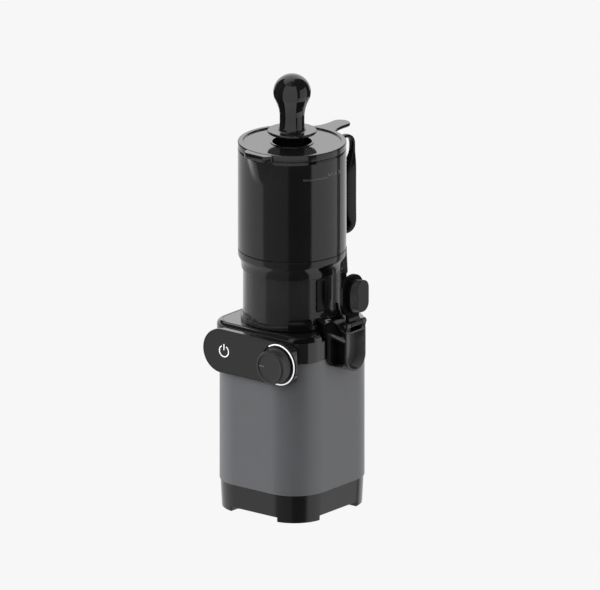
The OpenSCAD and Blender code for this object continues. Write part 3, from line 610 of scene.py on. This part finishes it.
# generic fill mark in three small letters
for d0, strokes in ((-9.5, ((0, 0, 0, 1), (0, 1, 0.5, 0.3), (0.5, 0.3, 1, 1), (1, 1, 1, 0))),
                    (-1.5, ((0, 0, 0.5, 1), (0.5, 1, 1, 0), (0.25, 0.4, 0.75, 0.4))),
                    (6.5, ((0, 0, 1, 1), (0, 1, 1, 0)))):
    for xa, ya, xb, yb in strokes:
        add(strip(d0 + 5.2 * xa, 372.4 + 4.4 * ya, d0 + 5.2 * xb, 372.4 + 4.4 * yb, 0.5, 2))
piece("level_marks", vs, fs, "hopper_unit", "faint_print")

# handle: narrow bow above, rounded grip, full-width arm below; (outer y, z), (inner y, z), half width
BOW = [(56.9, 385.0, 56.9, 381.5, 3.0), (74, 385.0, 74, 381.5, 3.0), (87, 384.9, 86, 381.4, 3.0),
       (93.2, 384.2, 91.2, 380.9, 3.0), (98.0, 382.0, 95.2, 379.2, 3.0), (101.6, 378.6, 97.8, 376.7, 3.0),
       (103.4, 374.2, 98.9, 373.4, 3.0), (103.7, 369.5, 99.0, 369.2, 3.0), (103.7, 363.5, 98.2, 363.2, 3.2),
       (103.7, 357.5, 95.2, 357.0, 4.2), (103.7, 351.5, 90.4, 350.8, 5.3), (103.7, 345.0, 86.8, 344.5, 5.9),
       (103.7, 338.0, 85.3, 338.0, 6.0), (103.7, 322.0, 85.0, 322.0, 6.0), (103.7, 306.0, 85.1, 306.0, 6.0),
       (103.7, 298.0, 86.0, 298.5, 6.0), (103.6, 291.5, 88.2, 292.6, 6.0), (103.0, 286.6, 90.6, 288.6, 6.0),
       (101.0, 282.2, 91.0, 285.6, 6.0), (97.4, 279.0, 89.4, 283.3, 6.0), (92.5, 277.3, 86.6, 281.8, 6.0),
       (86, 277.0, 82, 281.1, 6.0), (72, 277.0, 72, 280.9, 6.0), (56.9, 277.0, 56.9, 280.9, 6.0)]


def curve(rows, n=4):
    """Smooth curve through rows of numbers."""
    out = []
    for i in range(len(rows) - 1):
        p = [rows[max(0, i - 1)], rows[i], rows[i + 1], rows[min(len(rows) - 1, i + 2)]]
        for j in range(n):
            u = j / n
            out.append([0.5 * (2 * b + (c - a) * u + (2 * a - 5 * b + 4 * c - d) * u * u
                               + (3 * b - a - 3 * c + d) * u ** 3) for a, b, c, d in zip(*p)])
    return out + [list(rows[-1])]


def bent(c, k):
    return math.copysign(abs(c) ** k, c)


rings = []
for yo, zo, yi, zi, w in curve(BOW):
    ring = []
    for j in range(32):
        c, q = math.cos(2 * math.pi * j / 32), math.sin(2 * math.pi * j / 32)
        k = bent(c, 0.55)
        ring.append((min(6.0, w) * bent(q, 0.55), min(103.7, (yo + yi) / 2 + (yo - yi) / 2 * k),
                     (zo + zi) / 2 + (zo - zi) / 2 * k))
    rings.append(ring)
v, f = loft(rings)
o = piece("handle_grip", v, f, "hopper_unit", "handle")
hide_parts("hopper_handle")

# ---------------------------------------------------------------- lid, guide, pusher

prof = fillet([(22.05, 394.8), (51, 394.8), (51, 392.85), (52.3, 392.85), (52.3, 385, 0.5), (54.45, 385, 0.5),
               (54.45, 392.85), (57.1, 392.85, 0.3), (57.1, 400, 1.3), (52.0, 400, 0.9), (51.2, 398.45, 0.5),
               (22.05, 398.45)], True)
v, f, _ = lathe(prof, 216, closed=True)
o = piece("lid_shell", v, f, "lid_unit", "gloss")
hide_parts("lid")
tab = ([(-15.5, 53.4), (15.5, 53.4)] + fillet([(15.5, 53.4), (11.2, 62, 16), (9.6, 72, 30), (10.2, 81.0)], step=8)[1:]
       + arc_pts(0, 81.5, 10.2, 8, 172, 18) + fillet([(-10.2, 81.0), (-9.6, 72, 30), (-11.2, 62, 16), (-15.5, 53.4)],
                                                    step=8)[:-1])
v, f = slab(tab, 396.4, 399.98, 1.2, lambda a, b, h: (a, b, h), 4)
piece("lid_tab", v, f, "lid_unit", "gloss")
lip = fillet([(-17.4, -51.5), (-18.2, -57.0, 3), (-13.5, -64.0, 7), (13.5, -64.0, 7), (18.2, -57.0, 3), (17.4, -51.5)],
             True, 8)
v, f = slab(lip, 393.0, 399.6, 1.2, lambda a, b, h: (a, b, h), 4)
piece("lid_lip", v, f, "lid_unit", "gloss")

prof = fillet([(9.6, 386.5), (22, 386.5, 1.2), (22, 398.4), (23.2, 398.4), (23.2, 399.2, 0.35), (20.9, 399.2, 0.3),
               (20.6, 388.5, 1.5), (13, 388.5, 1.0), (13, 409, 0.6), (9.6, 409, 0.4)], True)
v, f, _ = lathe(prof, 144, closed=True)
o = piece("guide_shell", v, f, "lid_unit", "gloss")
# painted shade: the well round the guide is painted near-black
paint(o, lambda c, n: 12 < math.hypot(c.x, c.y) < 21.5 and c.z < 399.0, "painted_shade")
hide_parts("lid_guide")

ball = [(19.7 * math.cos(rad(t)), 453.3 + 19.7 * math.sin(rad(t))) for t in range(-18, 90, 4)]
prof = ([(0, 409.05)] + fillet([(8, 409.05), (25.2, 409.05, 0.4), (26, 410, 0.6), (26, 411.2, 0.6), (25.0, 412.0, 0.6),
                                (14.9, 412.0, 1.6), (13.3, 414.2, 2), (13.0, 420), (13.0, 429, 14), (13.8, 434.6, 16),
                                (15.6, 440.2, 16), (18.735, 447.21)], step=8)
        + ball + [(0, 473.0)])
v, f, _ = lathe(prof, 160)
o = piece("pusher_top", v, f, "pusher_unit", "gloss")
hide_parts("pusher")


def keep_low(bm):
    g = bm.verts[:] + bm.edges[:] + bm.faces[:]
    bmesh.ops.bisect_plane(bm, geom=g, dist=1e-7, plane_co=(0, 0, 0.4086), plane_no=(0, 0, 1), clear_outer=True)
    bmesh.ops.contextual_create(bm, geom=[e for e in bm.edges if len(e.link_faces) == 1])


from_cad("pusher", "pusher_rod", "pusher_unit", "soft_gloss", edge=0.5, cut=keep_low)

# ---------------------------------------------------------------- finishes of the other nodes

BY_NODE = {
    "rubber_feet": "rubber", "base_screws": "steel", "power_inlet": "plastic", "power_board": "board",
    "control_board": "board", "rotary_switch": "plastic", "knob_shaft": "steel", "motor_end_lower": "aluminium",
    "motor_end_upper": "aluminium", "stator_core": "lamination", "stator_windings": "copper", "motor_bolts": "steel",
    "motor_bearings": "steel", "rotor_shaft": "steel", "rotor_core": "lamination", "cooling_fan": "plastic",
    "sun_gear": "steel", "gearbox_base": "aluminium", "ring_gear": "nylon", "gearbox_cover": "aluminium",
    "gearbox_screws": "steel", "planet_1a": "nylon", "planet_1b": "nylon", "planet_1c": "nylon",
    "carrier_1": "steel", "planet_2a": "nylon", "planet_2b": "nylon", "planet_2c": "nylon", "carrier_2": "steel",
    "drive_shaft": "steel", "shaft_bearings": "steel", "shaft_seal": "rubber", "interlock_sensor": "plastic",
    "bowl_seal": "seal_red", "interlock_magnet": "steel", "strainer_frame": "matt", "strainer_mesh": "dark_mesh",
    "spout_hinge_pin": "steel", "auger": "matt", "hopper_gasket": "seal_grey",
}
for node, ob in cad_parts.items():
    if ob.hide_render:
        continue
    ob.data.materials.clear()
    ob.data.materials.append(M[BY_NODE.get(node, "plastic")])
    for poly in ob.data.polygons:
        poly.material_index = 0
    ob.data.shade_smooth()
    ob.data.set_sharp_from_angle(angle=rad(32))

# ---------------------------------------------------------------- floor, light, camera

m, t, out = nodes_of("floor_paper")
em = t.nodes.new("ShaderNodeEmission")
tc = t.nodes.new("ShaderNodeTexCoord").outputs["Object"]
t.links.new(two_tone(t, noise(t, tc, 3.0), grey(0.928), grey(0.932)), em.inputs["Color"])
clear = t.nodes.new("ShaderNodeBsdfTransparent")
mix = t.nodes.new("ShaderNodeMixShader")
geo = t.nodes.new("ShaderNodeNewGeometry")
t.links.new(geo.outputs["Backfacing"], mix.inputs["Fac"])
t.links.new(em.outputs["Emission"], mix.inputs[1])
t.links.new(clear.outputs["BSDF"], mix.inputs[2])
t.links.new(mix.outputs["Shader"], out.inputs["Surface"])
me = bpy.data.meshes.new("studio_floor")
me.from_pydata([(-3, -3, -0.0004), (3, -3, -0.0004), (3, 3, -0.0004), (-3, 3, -0.0004)], [], [(0, 1, 2, 3)])
me.materials.append(m)
floor = bpy.data.objects.new("studio_floor", me)
bpy.context.scene.collection.objects.link(floor)
floor.visible_glossy = False
floor.visible_diffuse = False
floor.visible_transmission = False
floor.visible_shadow = False

# cards round the pusher, seen only in reflections: two lit ones in front, black ones beside and behind


def card(name, a0, a1, z0, z1, level, r0=0.30, r1=0.30, one_sided=False):
    m, t, out = nodes_of(name)
    em = t.nodes.new("ShaderNodeEmission")
    tc = t.nodes.new("ShaderNodeTexCoord").outputs["Object"]
    t.links.new(two_tone(t, noise(t, tc, 4.0), grey(level * 0.97), grey(level)), em.inputs["Color"])
    mix = t.nodes.new("ShaderNodeMixShader")
    mix.inputs["Fac"].default_value = 0.0
    if one_sided:
        t.links.new(t.nodes.new("ShaderNodeNewGeometry").outputs["Backfacing"], mix.inputs["Fac"])
    t.links.new(em.outputs["Emission"], mix.inputs[1])
    t.links.new(t.nodes.new("ShaderNodeBsdfTransparent").outputs["BSDF"], mix.inputs[2])
    t.links.new(mix.outputs["Shader"], out.inputs["Surface"])
    n = max(2, int(abs(a1 - a0) / 4))
    ring = [[(r * math.cos(rad(a0 + (a1 - a0) * j / n)), r * math.sin(rad(a0 + (a1 - a0) * j / n)), z)
             for j in range(n + 1)] for r, z in ((r0, z0), (r1, z1))]
    me = bpy.data.meshes.new(name)
    me.from_pydata(ring[0] + ring[1], [], [(j, j + 1, n + 2 + j, n + 1 + j) for j in range(n)])
    me.materials.append(m)
    ob = bpy.data.objects.new(name, me)
    bpy.context.scene.collection.objects.link(ob)
    ob.visible_camera = ob.visible_diffuse = ob.visible_transmission = ob.visible_shadow = False


for name, a0, a1, low, top, level in (
        ("card_front", -107.6, -20.2, 0.318, 0.80, 1.05), ("card_gap", -20.2, -3.1, 0.318, 0.80, 0.03),
        ("card_right", -3.1, 49.2, 0.318, 0.555, 0.95), ("card_over", -3.1, 49.2, 0.555, 0.80, 0.02),
        ("card_side", 49.2, 84.0, 0.318, 0.80, 0.02), ("card_top", -48.0, 84.0, 0.80, 2.0, 0.02),
        ("card_back", 84.0, 172.0, 0.318, 0.395, 0.02), ("card_left", 172.0, 252.4, 0.318, 0.80, 0.02)):
    card(name, a0, a1, low, top, level)
card("card_low", -107.6, -20.2, 0.4128, 0.4128, 1.05, 0.30, 0.0165, True)
card("card_low_left", 172.0, 252.4, 0.4128, 0.4128, 0.02, 0.30, 0.0165, True)

w = bpy.data.worlds.new("studio")
bpy.context.scene.world = w
w.use_nodes = True
t = w.node_tree
t.nodes.clear()


def math_node(op, a, b=None, clamp=False):
    n = t.nodes.new("ShaderNodeMath")
    n.operation = op
    n.use_clamp = clamp
    for i, x in enumerate((a, b)):
        if x is None:
            continue
        if isinstance(x, (int, float)):
            n.inputs[i].default_value = x
        else:
            t.links.new(x, n.inputs[i])
    return n.outputs[0]


xyz = t.nodes.new("ShaderNodeSeparateXYZ")
t.links.new(t.nodes.new("ShaderNodeTexCoord").outputs["Generated"], xyz.inputs[0])
# azimuth as 0..1, counted from -X through -Y
azi = math_node("ADD", math_node("DIVIDE", math_node("ARCTAN2", xyz.outputs["Y"], xyz.outputs["X"]), 2 * math.pi), 0.5)


def azimuth(deg):
    return ((deg + 180) % 360) / 360


ramp = t.nodes.new("ShaderNodeValToRGB")
ramp.color_ramp.interpolation = "LINEAR"
STOPS = [(-180, 1.0), (-119, 1.0), (-113, 0.40), (-62, 0.34), (-57, 0.12), (-12, 0.12), (-7, 1.1), (59, 1.1),
         (61.5, 0.25), (71.5, 0.25), (74, 1.05), (180, 1.0)]
el = ramp.color_ramp.elements
while len(el) > 1:
    el.remove(el[-1])
el[0].position = 0.0
el[0].color = (*grey(STOPS[0][1] / 2), 1)
for d, val in STOPS[1:]:
    e = el.new(1.0 if d == 180 else azimuth(d))
    e.color = (*grey(val / 2), 1)
t.links.new(azi, ramp.inputs["Fac"])
side = math_node("MULTIPLY", ramp.outputs["Color"], 2.0)
# overhead: a large soft box that is strongest towards the back
lift = t.nodes.new("ShaderNodeMapRange")
lift.inputs["From Min"].default_value = 0.08
lift.inputs["From Max"].default_value = 0.24
t.links.new(xyz.outputs["Z"], lift.inputs["Value"])
back = math_node("ADD", math_node("MULTIPLY", xyz.outputs["X"], math.cos(rad(128.5))),
                 math_node("MULTIPLY", xyz.outputs["Y"], math.sin(rad(128.5))))
backness = t.nodes.new("ShaderNodeMapRange")
backness.inputs["From Min"].default_value = -0.2
backness.inputs["From Max"].default_value = 0.5
t.links.new(back, backness.inputs["Value"])
extra = math_node("MULTIPLY", math_node("MULTIPLY", lift.outputs["Result"], backness.outputs["Result"]), 0.72)
# fill from the front left, above the horizon
lift2 = t.nodes.new("ShaderNodeMapRange")
lift2.inputs["From Min"].default_value = 0.20
lift2.inputs["From Max"].default_value = 0.50
t.links.new(xyz.outputs["Z"], lift2.inputs["Value"])
left = math_node("ADD", math_node("MULTIPLY", xyz.outputs["X"], math.cos(rad(-122))),
                 math_node("MULTIPLY", xyz.outputs["Y"], math.sin(rad(-122))))
leftness = t.nodes.new("ShaderNodeMapRange")
leftness.inputs["From Min"].default_value = 0.25
leftness.inputs["From Max"].default_value = 0.65
t.links.new(left, leftness.inputs["Value"])
fill = math_node("MULTIPLY", math_node("MULTIPLY", lift2.outputs["Result"], leftness.outputs["Result"]), 2.2)
seen = t.nodes.new("ShaderNodeLightPath")
fill = math_node("MULTIPLY", fill, seen.outputs["Is Diffuse Ray"])
total = math_node("ADD", math_node("ADD", side, extra), fill)
bg1 = t.nodes.new("ShaderNodeBackground")
bg1.inputs["Color"].default_value = (1, 1, 1, 1)
t.links.new(total, bg1.inputs["Strength"])
bg2 = t.nodes.new("ShaderNodeBackground")
bg2.inputs["Color"].default_value = (0.93, 0.93, 0.93, 1)
mixw = t.nodes.new("ShaderNodeMixShader")
t.links.new(seen.outputs["Is Camera Ray"], mixw.inputs["Fac"])
t.links.new(bg1.outputs[0], mixw.inputs[1])
t.links.new(bg2.outputs[0], mixw.inputs[2])
wo = t.nodes.new("ShaderNodeOutputWorld")
t.links.new(mixw.outputs[0], wo.inputs["Surface"])

cam = bpy.data.cameras.new("view")
cam.type = "ORTHO"
cam.ortho_scale = 0.630
cam.clip_end = 20
cam_ob = bpy.data.objects.new("view", cam)
bpy.context.scene.collection.objects.link(cam_ob)
az, elv = rad(38.5), rad(17.4)
back_v = Vector((math.sin(az) * math.cos(elv), -math.cos(az) * math.cos(elv), math.sin(elv)))
aim = Vector((0.0065, 0.0052, 0.2298))
cam_ob.location = aim + back_v * 1.6
cam_ob.rotation_euler = (-back_v).to_track_quat("-Z", "Y").to_euler()
bpy.context.scene.camera = cam_ob
bpy.context.scene.view_settings.view_transform = "Standard"
bpy.context.scene.view_settings.look = "None"

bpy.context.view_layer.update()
